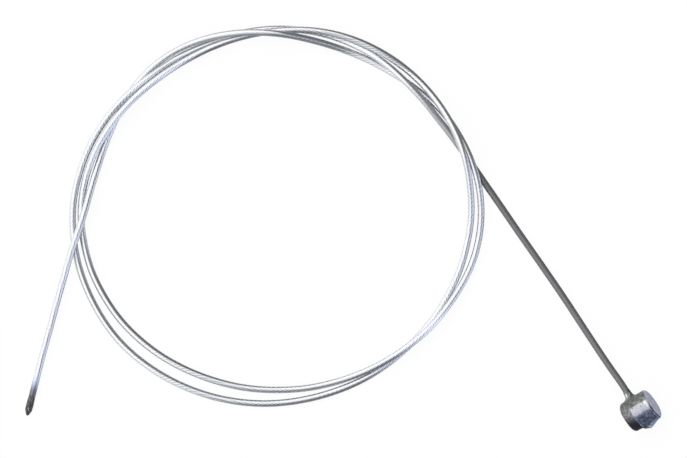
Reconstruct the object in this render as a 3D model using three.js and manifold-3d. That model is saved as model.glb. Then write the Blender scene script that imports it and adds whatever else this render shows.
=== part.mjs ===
// Bicycle brake cable, lying in a loose coil of two and a half turns.
// A stranded steel wire rope has a cast barrel nipple on one end, the end that hooks into a
// brake lever. The other end is fused into a blunt point, so that it threads through a housing.
// Millimetres, +Z up. The origin is under the middle of the whole cable, on the surface it lies on.
import * as THREE from 'three';
import { mergeVertices } from 'three/addons/utils/BufferGeometryUtils.js';
import Module from 'manifold-3d';

const wasm = await Module();
wasm.setup();

// Wire rope
const ROPE_DIAMETER = 1.5;
const ROPE_SIDES = 8;
const ROPE_STEPS = 96;
const ROUTE_DIVISIONS = 3000;

// Fused end of the rope: it starts just under the rope's surface, swells, then rounds off
const FUSED_LENGTH = 6.4;
const FUSED_INSET = 0.06;
const FUSED_SWELL = 0.03;
const FUSED_TAPER = 1.7;
const FUSED_OVERLAP = 2.1;
const FUSED_SIDES = 12;
const TAPER_STEPS = 4;

// Cast barrel nipple
const BARREL_DIAMETER = 7;
const BARREL_LENGTH = 7;
const FREE_RIM_RADIUS = 0.9;
const GATE_RIM_RADIUS = 0.4;
const BARREL_SIDES = 40;
const RIM_STEPS = 4;

// Conical boss on the barrel, where the rope comes out, and the socket that holds the rope's end
const BOSS_OFFSET = -0.4;
const BOSS_HEIGHT = 0.7;
const BOSS_WALL = 0.2;
const BOSS_FLARE = 0.5;
const BOSS_SIDES = 24;
const BOSS_STEPS = 3;
const SOCKET_CLEARANCE = 0.3;
const ROPE_GRIP_DEPTH = 5;

// Raised pad on the gated half of the casting, wrapped part of the way round the barrel.
// Its angles are degrees from the side away from the rope, growing towards the top.
const PAD_THICKNESS = 0.22;
const PAD_CHAMFER = 0.15;
const PAD_LENGTH = 4.3;
const PAD_END_MARGIN = 0.4;
const PAD_TOP_ANGLE = 112;
const PAD_UNDER_ANGLE = -110;
const PAD_STEPS = 20;

// Tapered stub in the pad, where the casting was broken off its runner
const STUB_HEIGHT = 1.1;
const STUB_BASE_DIAMETER = 4;
const STUB_TOP_DIAMETER = 1.1;
const STUB_POSITION = 0.4;
const STUB_SIDES = 16;

// How the nipple lies: the heading of its barrel, its roll about the rope and the dip of the rope
const NIPPLE_X = 65.4;
const NIPPLE_Y = -40.1;
const NIPPLE_HEADING = THREE.MathUtils.degToRad(31);
const NIPPLE_ROLL = THREE.MathUtils.degToRad(12.5);
const ROPE_DIP = THREE.MathUtils.degToRad(4.5);
const STRAIGHT_EXIT = 2.6;

// The coil is a flattened round: its centre and half sizes, along X and Y
const COIL_X = -13.9;
const COIL_Y = 2.55;
const COIL_HALF_WIDTH = 45.2;
const COIL_HALF_DEPTH = 41.9;

// Rope from the nipple to the coil: X, Y and the height of its centreline
const NIPPLE_TAIL = [
  [58.6, -30.3, 3.0],
  [53.7, -22.9, 2.1],
  [48.8, -15.4, 1.35],
  [43.8, -8.1, 0.92],
  [38.7, -0.8, 0.79],
  [33.7, 6.5, 0.78],
];

// Turns of the coil: degrees round it from +X, share of its half sizes, height of the centreline
const TURNS = [
  [10.5, 1.012, 0.78], [20, 0.961, 0.78], [30, 0.9335, 1.05], [35, 0.9275, 1.5], [40, 0.9297, 2.1],
  [50, 0.94, 2.5], [60, 0.961, 1.85], [70, 0.978, 0.95], [80, 0.988, 0.78], [90, 0.991, 0.78],
  [100, 0.988, 0.78], [110, 0.978, 0.78], [120, 0.973, 0.88], [130, 0.972, 2.0], [140, 0.983, 2.45],
  [150, 0.993, 1.5], [160, 1.002, 0.85], [175, 1.011, 0.78], [190, 1.0145, 0.78], [205, 1.017, 0.78],
  [220, 1.0212, 0.78], [235, 1.0135, 0.78], [250, 1.002, 0.78], [265, 0.986, 0.78], [280, 0.9645, 0.78],
  [295, 0.946, 0.78], [310, 0.928, 0.78], [325, 0.9195, 0.78], [340, 0.919, 0.78], [350, 0.9225, 0.8],
  [360, 0.932, 1.15], [370, 0.941, 2.5], [380, 0.955, 3.8], [390, 0.967, 3.2], [400, 0.979, 2.15],
  [410, 0.99, 1.65], [420, 0.997, 2.2], [430, 1.0, 2.42], [440, 0.995, 2.44], [450, 0.981, 2.42],
  [460, 0.967, 2.25], [470, 0.953, 2.05], [480, 0.943, 2.2], [490, 0.9405, 2.85], [500, 0.947, 2.8],
  [510, 0.956, 2.42], [520, 0.965, 1.65], [530, 0.97, 1.0], [540, 0.971, 0.78], [550, 0.965, 0.78],
  [560, 0.96, 0.78], [575, 0.949, 0.78], [590, 0.935, 0.78], [605, 0.9215, 0.78], [620, 0.9145, 0.78],
  [635, 0.91, 0.78], [645, 0.9095, 0.92], [655, 0.9118, 1.6], [665, 0.9175, 2.3], [675, 0.926, 2.48],
  [685, 0.939, 2.25], [700, 0.96, 1.15], [710, 0.974, 0.85], [720, 0.9815, 1.15], [730, 0.983, 2.3],
  [740, 0.977, 2.5], [750, 0.971, 1.45], [755, 0.9665, 0.98], [760, 0.955, 0.8], [770, 0.939, 0.78],
  [780, 0.932, 0.78], [790, 0.932, 0.95], [800, 0.942, 2.25], [810, 0.962, 3.95], [820, 0.985, 3.75],
  [830, 1.004, 2.35], [840, 1.011, 1.2], [850, 1.002, 0.8], [860, 0.976, 0.78], [870, 0.945, 0.78],
  [880, 0.929, 0.85], [890, 0.932, 1.7], [900, 0.96, 2.45], [910, 1.0325, 2.45],
];

// Rope from the coil to its fused end: X, Y and the height of its centreline
const FREE_TAIL = [
  [-61.5, -10.7, 1.85],
  [-63.1, -16.3, 1.15],
  [-64.6, -21.9, 0.86],
  [-66.2, -27.6, 0.84],
  [-67.4, -32.3, 0.86],
  [-68.6, -37.1, 0.86],
];

// Each finish in its own colour
const finish = (color, roughness, metalness) =>
  new THREE.MeshStandardMaterial({ color, roughness, metalness });
const ropeSteel = finish(0xaeb4bd, 0.3, 0.9);
const castZinc = finish(0x8b9391, 0.55, 0.7);

const WELD_DISTANCE = 1e-5;

const ropeRadius = ROPE_DIAMETER / 2;
const barrelRadius = BARREL_DIAMETER / 2;
const halfLength = BARREL_LENGTH / 2;
const socketRadius = ropeRadius + SOCKET_CLEARANCE;
const mouth = barrelRadius + BOSS_HEIGHT;

// A closed geometry as a solid that can be joined and cut, and back again.
function toSolid(geometry) {
  const bare = geometry.clone();
  bare.deleteAttribute('normal');
  bare.deleteAttribute('uv');
  const merged = mergeVertices(bare, WELD_DISTANCE);
  return new wasm.Manifold(new wasm.Mesh({
    numProp: 3,
    vertProperties: merged.attributes.position.array,
    triVerts: new Uint32Array(merged.index.array),
  }));
}

function toGeometry(solid) {
  const mesh = solid.getMesh();
  const geometry = new THREE.BufferGeometry();
  geometry.setAttribute('position', new THREE.BufferAttribute(mesh.vertProperties, 3));
  geometry.setIndex(new THREE.BufferAttribute(mesh.triVerts, 1));
  geometry.computeVertexNormals();
  return geometry;
}

function namedMesh(name, geometry, material) {
  const mesh = new THREE.Mesh(geometry, material);
  mesh.name = name;
  return mesh;
}

// The nipple's own frame: barrel along X, rope leaving along +Y, origin at the barrel's middle.
// Its height puts the lowest point of the rounded barrel on the surface.
function nippleFrame() {
  const turn = new THREE.Euler(-ROPE_DIP, -NIPPLE_ROLL, NIPPLE_HEADING, 'ZXY');
  const axis = new THREE.Vector3(1, 0, 0).applyEuler(turn);
  const across = Math.sqrt(1 - axis.z ** 2);
  const alongShare = (halfLength - FREE_RIM_RADIUS) * axis.z;
  const height = alongShare + (barrelRadius - FREE_RIM_RADIUS) * across + FREE_RIM_RADIUS;
  return { turn, centre: new THREE.Vector3(NIPPLE_X, NIPPLE_Y, height) };
}

const nipple = nippleFrame();
const inNipple = (x, y, z) =>
  new THREE.Vector3(x, y, z).applyEuler(nipple.turn).add(nipple.centre);

// The whole centreline of the rope, from its end in the nipple's socket to its fused end.
function ropeRoute() {
  const points = [
    inNipple(BOSS_OFFSET, mouth - ROPE_GRIP_DEPTH, 0),
    inNipple(BOSS_OFFSET, mouth, 0),
    inNipple(BOSS_OFFSET, mouth + STRAIGHT_EXIT, 0),
  ];
  for (const [x, y, z] of NIPPLE_TAIL) points.push(new THREE.Vector3(x, y, z));
  for (const [degrees, share, z] of TURNS) {
    const angle = THREE.MathUtils.degToRad(degrees);
    points.push(new THREE.Vector3(
      COIL_X + COIL_HALF_WIDTH * share * Math.cos(angle),
      COIL_Y + COIL_HALF_DEPTH * share * Math.sin(angle),
      z,
    ));
  }
  for (const [x, y, z] of FREE_TAIL) points.push(new THREE.Vector3(x, y, z));
  const route = new THREE.CatmullRomCurve3(points, false, 'centripetal');
  route.arcLengthDivisions = ROUTE_DIVISIONS;
  return route;
}

// Blunt fused end, as one solid of revolution along +Z.
function fusedEnd() {
  const swollen = ropeRadius + FUSED_SWELL;
  const shoulder = FUSED_LENGTH - FUSED_TAPER;
  const profile = [
    new THREE.Vector2(0, 0),
    new THREE.Vector2(ropeRadius - FUSED_INSET, 0),
  ];
  for (let i = 0; i < TAPER_STEPS; i++) {
    const angle = (i / TAPER_STEPS) * (Math.PI / 2);
    const height = shoulder + FUSED_TAPER * Math.sin(angle);
    profile.push(new THREE.Vector2(swollen * Math.cos(angle), height));
  }
  profile.push(new THREE.Vector2(0, FUSED_LENGTH));
  return new THREE.LatheGeometry(profile, FUSED_SIDES).rotateX(Math.PI / 2);
}

function wireRope() {
  const route = ropeRoute();
  const section = new THREE.Shape().absarc(0, 0, ropeRadius, 0, 2 * Math.PI);
  const tube = new THREE.ExtrudeGeometry(section, {
    steps: ROPE_STEPS,
    curveSegments: ROPE_SIDES / 2,
    bevelEnabled: false,
    extrudePath: route,
  });
  const end = route.getPointAt(1);
  const out = route.getTangentAt(1);
  const turn = new THREE.Quaternion().setFromUnitVectors(new THREE.Vector3(0, 0, 1), out);
  const start = end.clone().addScaledVector(out, -FUSED_OVERLAP);
  const tip = fusedEnd().applyQuaternion(turn).translate(start.x, start.y, start.z);
  return toGeometry(toSolid(tube).add(toSolid(tip)));
}

// Quarter arcs for the rims of the barrel, from its flat end towards its side.
function rim(radius, flatEnd, inwards) {
  const points = [];
  for (let i = 0; i <= RIM_STEPS; i++) {
    const angle = (i / RIM_STEPS) * (Math.PI / 2);
    points.push(new THREE.Vector2(
      barrelRadius - radius + radius * Math.sin(angle),
      flatEnd + inwards * radius * (1 - Math.cos(angle)),
    ));
  }
  return points;
}

function barrel() {
  const profile = [
    new THREE.Vector2(0, -halfLength),
    ...rim(FREE_RIM_RADIUS, -halfLength, 1),
    ...rim(GATE_RIM_RADIUS, halfLength, -1).reverse(),
    new THREE.Vector2(0, halfLength),
  ];
  return new THREE.LatheGeometry(profile, BARREL_SIDES).rotateZ(-Math.PI / 2);
}

// The boss flares in a fillet towards the barrel and starts inside it, so that the two join.
function boss() {
  const topRadius = socketRadius + BOSS_WALL;
  const drop = BOSS_HEIGHT + BOSS_FLARE;
  const profile = [new THREE.Vector2(0, 0), new THREE.Vector2(topRadius + BOSS_FLARE, 0)];
  for (let i = BOSS_STEPS; i >= 0; i--) {
    const angle = (i / BOSS_STEPS) * (Math.PI / 2);
    const radius = topRadius + BOSS_FLARE * (1 - Math.cos(angle));
    profile.push(new THREE.Vector2(radius, mouth - drop * Math.sin(angle)));
  }
  profile.push(new THREE.Vector2(0, mouth));
  return new THREE.LatheGeometry(profile, BOSS_SIDES).translate(BOSS_OFFSET, 0, 0);
}

// The pad's outline across the barrel, drawn in Y and Z and pushed along X.
function gatePad() {
  const root = barrelRadius / 2;
  const crest = barrelRadius + PAD_THICKNESS;
  const at = (radius, angle) => {
    const turn = THREE.MathUtils.degToRad(angle);
    return new THREE.Vector2(-radius * Math.cos(turn), radius * Math.sin(turn));
  };
  const outline = [];
  for (let i = 0; i <= PAD_STEPS; i++) {
    const share = i / PAD_STEPS;
    outline.push(at(crest, PAD_UNDER_ANGLE + (PAD_TOP_ANGLE - PAD_UNDER_ANGLE) * share));
  }
  outline.push(at(root, PAD_TOP_ANGLE), at(root, PAD_UNDER_ANGLE));
  const pad = new THREE.ExtrudeGeometry(new THREE.Shape(outline), {
    depth: PAD_LENGTH - 2 * PAD_CHAMFER,
    bevelEnabled: true,
    bevelThickness: PAD_CHAMFER,
    bevelSize: PAD_CHAMFER,
    bevelOffset: -PAD_CHAMFER,
    bevelSegments: 1,
  });
  // The shape's own x, y and depth become Y, Z and X.
  const turned = new THREE.Matrix4().makeBasis(
    new THREE.Vector3(0, 1, 0),
    new THREE.Vector3(0, 0, 1),
    new THREE.Vector3(1, 0, 0),
  );
  const start = halfLength - PAD_END_MARGIN - PAD_LENGTH + PAD_CHAMFER;
  return pad.applyMatrix4(turned).translate(start, 0, 0);
}

// The stub points away from the rope. It starts inside the barrel, where the barrel is as
// wide as the stub's base, so its taper meets the barrel's side all round.
function gateStub() {
  const base = STUB_BASE_DIAMETER / 2;
  const foot = Math.sqrt(barrelRadius ** 2 - base ** 2);
  const height = barrelRadius + STUB_HEIGHT - foot;
  const stub = new THREE.CylinderGeometry(STUB_TOP_DIAMETER / 2, base, height, STUB_SIDES);
  return stub.rotateX(Math.PI).translate(STUB_POSITION, -(foot + height / 2), 0);
}

// A blind hole for the rope's end, as deep as the rope reaches and a clearance more.
function socket() {
  const over = 1;
  const depth = ROPE_GRIP_DEPTH + SOCKET_CLEARANCE;
  const bore = new THREE.CylinderGeometry(socketRadius, socketRadius, depth + over, BOSS_SIDES);
  return bore.translate(BOSS_OFFSET, mouth - depth + (depth + over) / 2, 0);
}

function barrelNipple() {
  const raised = toSolid(gatePad()).add(toSolid(gateStub())).add(toSolid(boss()));
  const cast = toSolid(barrel()).add(raised);
  return toGeometry(cast.subtract(toSolid(socket())));
}

const cable = new THREE.Group();
cable.add(namedMesh('wire_rope', wireRope(), ropeSteel));

const head = namedMesh('barrel_nipple', barrelNipple(), castZinc);
head.rotation.copy(nipple.turn);
head.position.copy(nipple.centre);
cable.add(head);

export default cable;
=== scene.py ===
# %% [markdown]
# # The inner cable of a bicycle brake, lying in a loose coil
#
# A brake cable is a steel wire rope. One end is cast into a zinc barrel that hooks into the
# brake lever, and the other end is melted to a blunt point so that it threads through its
# housing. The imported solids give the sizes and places. Here they are dressed with real wires,
# a rough casting and polished, tarnished and burnt metal.

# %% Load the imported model
import math

import bpy
import numpy as np
from mathutils import Matrix, Vector


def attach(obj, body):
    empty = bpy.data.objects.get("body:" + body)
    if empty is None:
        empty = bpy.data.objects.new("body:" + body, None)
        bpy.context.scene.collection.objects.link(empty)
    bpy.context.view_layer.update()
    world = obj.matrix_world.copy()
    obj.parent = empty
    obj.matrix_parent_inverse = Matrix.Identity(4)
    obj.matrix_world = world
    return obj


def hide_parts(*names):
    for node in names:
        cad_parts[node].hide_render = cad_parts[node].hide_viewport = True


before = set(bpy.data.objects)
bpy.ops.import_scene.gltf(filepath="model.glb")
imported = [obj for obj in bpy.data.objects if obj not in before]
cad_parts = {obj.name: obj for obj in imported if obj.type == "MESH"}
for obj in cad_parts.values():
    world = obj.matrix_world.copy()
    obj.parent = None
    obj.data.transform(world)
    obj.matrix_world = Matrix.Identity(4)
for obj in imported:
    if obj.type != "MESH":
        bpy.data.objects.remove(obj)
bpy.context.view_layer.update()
MM = 0.001
print("nodes:", sorted(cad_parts))

# %% [markdown]
# ## Camera
#
# The cable was photographed from straight above. A short lens close by would bend the coil's
# outline, so the camera stands two metres up with a very long lens, which is nearly a plan view.
# The lens follows from how much of the table the picture's width takes in.

# %% Camera
VIEW_WIDTH = 151.55 * MM
VIEW_CENTRE = Vector((0.11 * MM, -0.11 * MM, 0))
CAMERA_HEIGHT = 2.0
SENSOR_WIDTH = 36.0
FAR_CLIP = 20.0

camera_data = bpy.data.cameras.new("camera")
camera_data.sensor_width = SENSOR_WIDTH
camera_data.lens = SENSOR_WIDTH * CAMERA_HEIGHT / VIEW_WIDTH
camera_data.clip_end = FAR_CLIP
camera = bpy.data.objects.new("camera", camera_data)
camera.location = VIEW_CENTRE + Vector((0, 0, CAMERA_HEIGHT))
bpy.context.scene.collection.objects.link(camera)
bpy.context.scene.camera = camera
bpy.context.scene.view_settings.view_transform = "Standard"
print(f"lens {camera_data.lens:.0f} mm")

# %% [markdown]
# ## Where the nipple lies
#
# The barrel nipple rests on the table, turned, a little rolled, and with the rope dipping away
# from it. It has a frame of its own: the barrel along X, the rope leaving along +Y and its
# origin in the barrel's middle. Everything on the nipple is drawn in that frame, in millimetres,
# and one matrix puts it in its place.

# %% The nipple's own frame
BARREL_RADIUS = 3.5
HALF_LENGTH = 3.5
FREE_RIM = 0.9
BOSS_OFFSET = -0.4
BOSS_HEIGHT = 0.7
NIPPLE_X = 65.4
NIPPLE_Y = -40.1
NIPPLE_HEADING = math.radians(31)
NIPPLE_ROLL = math.radians(12.5)
ROPE_DIP = math.radians(4.5)

nipple_turn = (
    Matrix.Rotation(NIPPLE_HEADING, 3, "Z")
    @ Matrix.Rotation(-ROPE_DIP, 3, "X")
    @ Matrix.Rotation(-NIPPLE_ROLL, 3, "Y")
)
barrel_axis = nipple_turn @ Vector((1, 0, 0))
level = math.sqrt(1 - barrel_axis.z**2)
nipple_height = (
    (HALF_LENGTH - FREE_RIM) * barrel_axis.z + (BARREL_RADIUS - FREE_RIM) * level + FREE_RIM
)
nipple_centre = Vector((NIPPLE_X, NIPPLE_Y, nipple_height))
mouth = BARREL_RADIUS + BOSS_HEIGHT


def in_nipple(x, y, z):
    return nipple_centre + nipple_turn @ Vector((x, y, z))


print("nipple centre", [round(v, 2) for v in nipple_centre])

# %% [markdown]
# ## The rope's route
#
# The rope is springy steel, so it lies in one smooth line: straight out of the nipple, along the
# table, two and a half turns round a flattened coil, and off to its free end. Where it passes
# over itself it rises in a long low hump, one rope thick, or two where it passes over two turns
# at once. The points are the ones that the solid follows, chosen from the photograph: the
# coil's are given by angle and by their share of the coil's half sizes.

# %% Points on the route, in millimetres
ROPE_DIAMETER = 1.5
GRIP_DEPTH = 5
STRAIGHT_EXIT = 2.6
COIL_X = -13.9
COIL_Y = 2.55
COIL_HALF_WIDTH = 45.2
COIL_HALF_DEPTH = 41.9

NIPPLE_TAIL = [
    (58.6, -30.3, 3.0), (53.7, -22.9, 2.1), (48.8, -15.4, 1.35),
    (43.8, -8.1, 0.92), (38.7, -0.8, 0.79), (33.7, 6.5, 0.78),
]
TURNS = [
    (10.5, 1.012, 0.78), (20, 0.961, 0.78), (30, 0.9335, 1.05), (35, 0.9275, 1.5),
    (40, 0.9297, 2.1), (50, 0.94, 2.5), (60, 0.961, 1.85), (70, 0.978, 0.95),
    (80, 0.988, 0.78), (90, 0.991, 0.78), (100, 0.988, 0.78), (110, 0.978, 0.78),
    (120, 0.973, 0.88), (130, 0.972, 2.0), (140, 0.983, 2.45), (150, 0.993, 1.5),
    (160, 1.002, 0.85), (175, 1.011, 0.78), (190, 1.0145, 0.78), (205, 1.017, 0.78),
    (220, 1.0212, 0.78), (235, 1.0135, 0.78), (250, 1.002, 0.78), (265, 0.986, 0.78),
    (280, 0.9645, 0.78), (295, 0.946, 0.78), (310, 0.928, 0.78), (325, 0.9195, 0.78),
    (340, 0.919, 0.78), (350, 0.9225, 0.8), (360, 0.932, 1.15), (370, 0.941, 2.5),
    (380, 0.955, 3.8), (390, 0.967, 3.2), (400, 0.979, 2.15), (410, 0.99, 1.65),
    (420, 0.997, 2.2), (430, 1.0, 2.42), (440, 0.995, 2.44), (450, 0.981, 2.42),
    (460, 0.967, 2.25), (470, 0.953, 2.05), (480, 0.943, 2.2), (490, 0.9405, 2.85),
    (500, 0.947, 2.8), (510, 0.956, 2.42), (520, 0.965, 1.65), (530, 0.97, 1.0),
    (540, 0.971, 0.78), (550, 0.965, 0.78), (560, 0.96, 0.78), (575, 0.949, 0.78),
    (590, 0.935, 0.78), (605, 0.9215, 0.78), (620, 0.9145, 0.78), (635, 0.91, 0.78),
    (645, 0.9095, 0.92), (655, 0.9118, 1.6), (665, 0.9175, 2.3), (675, 0.926, 2.48),
    (685, 0.939, 2.25), (700, 0.96, 1.15), (710, 0.974, 0.85), (720, 0.9815, 1.15),
    (730, 0.983, 2.3), (740, 0.977, 2.5), (750, 0.971, 1.45), (755, 0.9665, 0.98),
    (760, 0.955, 0.8), (770, 0.939, 0.78), (780, 0.932, 0.78), (790, 0.932, 0.95),
    (800, 0.942, 2.25), (810, 0.962, 3.95), (820, 0.985, 3.75), (830, 1.004, 2.35),
    (840, 1.011, 1.2), (850, 1.002, 0.8), (860, 0.976, 0.78), (870, 0.945, 0.78),
    (880, 0.929, 0.85), (890, 0.932, 1.7), (900, 0.96, 2.45), (910, 1.0325, 2.45),
]
FREE_TAIL = [
    (-61.5, -10.7, 1.85), (-63.1, -16.3, 1.15), (-64.6, -21.9, 0.86),
    (-66.2, -27.6, 0.84), (-67.4, -32.3, 0.86), (-68.6, -37.1, 0.86),
]


def coil_point(degrees, share, height):
    angle = math.radians(degrees)
    x = COIL_X + COIL_HALF_WIDTH * share * math.cos(angle)
    y = COIL_Y + COIL_HALF_DEPTH * share * math.sin(angle)
    return (x, y, height)


route = [
    tuple(in_nipple(BOSS_OFFSET, mouth - GRIP_DEPTH, 0)),
    tuple(in_nipple(BOSS_OFFSET, mouth, 0)),
    tuple(in_nipple(BOSS_OFFSET, mouth + STRAIGHT_EXIT, 0)),
    *NIPPLE_TAIL,
    *(coil_point(*station) for station in TURNS),
    *FREE_TAIL,
]
print(len(route), "points")

# %% [markdown]
# A centripetal Catmull-Rom curve goes through every point without overshooting where the points
# are close together. It is then cut into even steps, which the wires need, because each step
# turns them by the same angle. A little smoothing takes out the jumps in bend that such a curve
# has at its points: bright wire would show them as nicks in its highlights.

# %% One smooth, evenly stepped centreline
SPAN_SAMPLES = 24
SMOOTH_PASSES = 6
FUSED_BEYOND_ROUTE = 4.3


def catmull_rom(points):
    points = np.array(points, float)
    first = 2 * points[0] - points[1]
    last = 2 * points[-1] - points[-2]
    points = np.vstack([first, points, last])
    share = np.linspace(0, 1, SPAN_SAMPLES, endpoint=False)[:, None]
    out = []
    for a, b, c, d in zip(points, points[1:], points[2:], points[3:]):
        ab, bc, cd = (math.sqrt(np.linalg.norm(q - p)) for p, q in ((a, b), (b, c), (c, d)))
        leaving = ((b - a) / ab - (c - a) / (ab + bc) + (c - b) / bc) * bc
        arriving = ((c - b) / bc - (d - b) / (bc + cd) + (d - c) / cd) * bc
        square = 3 * (c - b) - 2 * leaving - arriving
        cube = 2 * (b - c) + leaving + arriving
        out.append(b + leaving * share + square * share**2 + cube * share**3)
    return np.vstack([*out, points[-2]])


def evenly(line, step):
    along = np.concatenate([[0], np.cumsum(np.linalg.norm(np.diff(line, axis=0), axis=1))])
    count = int(round(along[-1] / step)) + 1
    places = np.linspace(0, along[-1], count)
    return np.stack([np.interp(places, along, line[:, k]) for k in range(3)], axis=1), places


def smoothed(line, passes):
    for _ in range(passes):
        line[1:-1] = 0.25 * line[:-2] + 0.5 * line[1:-1] + 0.25 * line[2:]
    return line


WIRE_STEP = 0.7
centreline, _ = evenly(catmull_rom(route), WIRE_STEP)
centreline = smoothed(centreline, SMOOTH_PASSES)
heading_out = centreline[-1] - centreline[-2]
heading_out /= np.linalg.norm(heading_out)
tip_point = centreline[-1] + heading_out * FUSED_BEYOND_ROUTE
centreline, along = evenly(np.vstack([centreline, tip_point]), WIRE_STEP)
rope_length = along[-1]
print(f"rope length {rope_length:.1f} mm in {len(along)} steps")

# %% [markdown]
# ## Frames along the rope
#
# A wire that winds round the rope needs two directions across it at every step. Taken from the
# curve's bend they would flip where it straightens, so instead the first pair is carried along
# and only tipped over as far as the line turns. That leaves no twist but the rope's own lay.

# %% Directions across the rope


def carried_frames(line):
    tangent = np.gradient(line, axis=0)
    tangent /= np.linalg.norm(tangent, axis=1)[:, None]
    side = np.cross(tangent[0], (0, 0, 1))
    sides = []
    for t in tangent:
        side = side - t * np.dot(side, t)
        side /= np.linalg.norm(side)
        sides.append(side)
    sides = np.array(sides)
    return tangent, sides, np.cross(tangent, sides)


tangents, sides, lifts = carried_frames(centreline)
print("steepest climb", round(math.degrees(math.asin(abs(tangents[:, 2]).max())), 1), "degrees")

# %% [markdown]
# ## From arrays to meshes
#
# Every form here is a grid of points bent round into a tube. One helper joins each ring to the
# next and closes both ends. A second one makes a smooth piece of several such tubes. Values that
# the materials need at each point, such as how deep it lies in a groove, go along as attributes.

# %% Mesh helpers


def tube(rings, attributes):
    """rings has the shape (rings, points in a ring, 3), in millimetres."""
    count, sides_round, _ = rings.shape
    index = np.arange(count * sides_round).reshape(count, sides_round)
    ahead = np.roll(index, -1, axis=1)
    quads = np.stack([index[:-1], ahead[:-1], ahead[1:], index[1:]], axis=-1).reshape(-1, 4)
    faces = quads.tolist()
    faces.append(index[0][::-1].tolist())
    faces.append(index[-1].tolist())
    values = {key: grid.reshape(count * sides_round, -1) for key, grid in attributes.items()}
    return rings.reshape(-1, 3), faces, values


def build_object(name, tubes):
    """One object from several tubes, with their attributes."""
    points, faces, start = [], [], 0
    for tube_points, tube_faces, _ in tubes:
        points.append(tube_points)
        faces.extend([[i + start for i in face] for face in tube_faces])
        start += len(tube_points)
    mesh = bpy.data.meshes.new(name)
    mesh.from_pydata((np.vstack(points) * MM).tolist(), [], faces)
    mesh.polygons.foreach_set("use_smooth", np.ones(len(faces), bool))
    for key in tubes[0][2]:
        values = np.vstack([given[key] for _, _, given in tubes])
        kind, field = ("FLOAT_VECTOR", "vector") if values.shape[1] == 3 else ("FLOAT", "value")
        attribute = mesh.attributes.new(key, kind, "POINT")
        attribute.data.foreach_set(field, values.astype(np.float32).ravel())
    mesh.validate()
    piece = bpy.data.objects.new(name, mesh)
    bpy.context.scene.collection.objects.link(piece)
    print(name, "has", sum(len(face) - 2 for face in faces), "triangles")
    return piece


print("mesh helpers:", tube.__name__, "and", build_object.__name__)

# %% [markdown]
# ## Nineteen wires
#
# Twelve wires show on the outside, wound left-handed once every 12 mm. This kind of strand is
# drawn through a die after it is laid, so its outer wires are flattened to the rope's round and
# only fine grooves are left between them. Each wire's section is drawn in the rope's own round,
# as angles from the wire's middle and depths below the rope's round. The edges between a wire's
# crown and its grooves are marked as sharp, so that each crown reflects cleanly up to them.

# %% Outer wires
OUTER_WIRES = 12
LAY_LENGTH = 12.0
LAY_HAND = -1
ROPE_RADIUS = ROPE_DIAMETER / 2
WIRE_SECTION = [
    (-5.5, 0.0), (5.5, 0.0), (12.8, 0.021), (14.6, 0.065), (0, 0.28), (-14.6, 0.065), (-12.8, 0.021),
]
SHOULDERS = [2, 6]
WIRES_INTO_TIP = 3.4
TIP_LENGTH = 6.4

fused_start = rope_length - TIP_LENGTH
wire_steps = along <= fused_start + WIRES_INTO_TIP


def around(angle):
    """Unit directions across the rope at each step, for an angle given at each step."""
    return np.cos(angle)[:, None] * sides + np.sin(angle)[:, None] * lifts


def winding(turn_offset):
    """The angle round the rope, at each step, of a wire that starts at the given angle."""
    return LAY_HAND * 2 * np.pi * along / LAY_LENGTH + turn_offset


def wire_tube(turn_offset):
    """One outer wire. Its points know where they lie in the rope before it is wound."""
    rings, laid, depth = [], [], []
    for degrees, inset in WIRE_SECTION:
        angle = winding(turn_offset) + math.radians(degrees)
        radius = ROPE_RADIUS - inset
        rings.append(centreline + radius * around(angle))
        flat = turn_offset + math.radians(degrees)
        laid.append(np.stack([
            np.full(len(along), radius * math.cos(flat)),
            np.full(len(along), radius * math.sin(flat)),
            along,
        ], axis=1))
        depth.append(np.full(len(along), inset))
    rings = np.stack(rings, axis=1)[wire_steps]
    attributes = {
        "laid": np.stack(laid, axis=1)[wire_steps],
        "groove": np.stack(depth, axis=1)[wire_steps],
    }
    return tube(rings, attributes)


def sharpen(piece, ring_size, columns):
    """Marks the edges that run along the tubes at the given points of each ring."""
    edges = piece.data.edges
    ends = np.empty(2 * len(edges), int)
    edges.foreach_get("vertices", ends)
    first, second = (ends.reshape(-1, 2) % ring_size).T
    edges.foreach_set("use_edge_sharp", (first == second) & np.isin(first, columns))


outer_tubes = [wire_tube(2 * math.pi * number / OUTER_WIRES) for number in range(OUTER_WIRES)]
outer_wires = build_object("outer_wires", outer_tubes)
sharpen(outer_wires, len(WIRE_SECTION), SHOULDERS)

# %% [markdown]
# Under them lie seven more: one straight in the middle and six round it. They only show as a
# darker floor to the grooves, so they get fewer sides.

# %% Inner wires
WIRE_RADIUS = 0.15
INNER_RADIUS = 0.3
INNER_WIRES = 6
INNER_SIDES = 5


def inner_tube(lay_radius, turn_offset):
    twist = winding(turn_offset)
    middle = centreline + lay_radius * around(twist)
    rings = [
        middle + WIRE_RADIUS * around(twist + 2 * math.pi * k / INNER_SIDES)
        for k in range(INNER_SIDES)
    ]
    rings = np.stack(rings, axis=1)[wire_steps]
    laid = np.broadcast_to(along[wire_steps][:, None, None], rings.shape)
    # Their depth gives the inner wires the full painted groove shade.
    groove = np.full(rings.shape[:2], ROPE_RADIUS - lay_radius - WIRE_RADIUS)
    return tube(rings, {"laid": laid, "groove": groove})


inner_tubes = [inner_tube(0, 0)] + [
    inner_tube(INNER_RADIUS, 2 * math.pi * number / INNER_WIRES) for number in range(INNER_WIRES)
]
inner_wires = build_object("inner_wires", inner_tubes)

# %% [markdown]
# ## Fused tip
#
# The free end is cut by an electric arc, which melts the wires together. The metal runs into the
# grooves first, then covers the wires in a black, slightly lumpy skin, and it ends in a blunt
# cone. It is one tube whose rings follow the wires at first and forget them towards the end.

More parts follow.
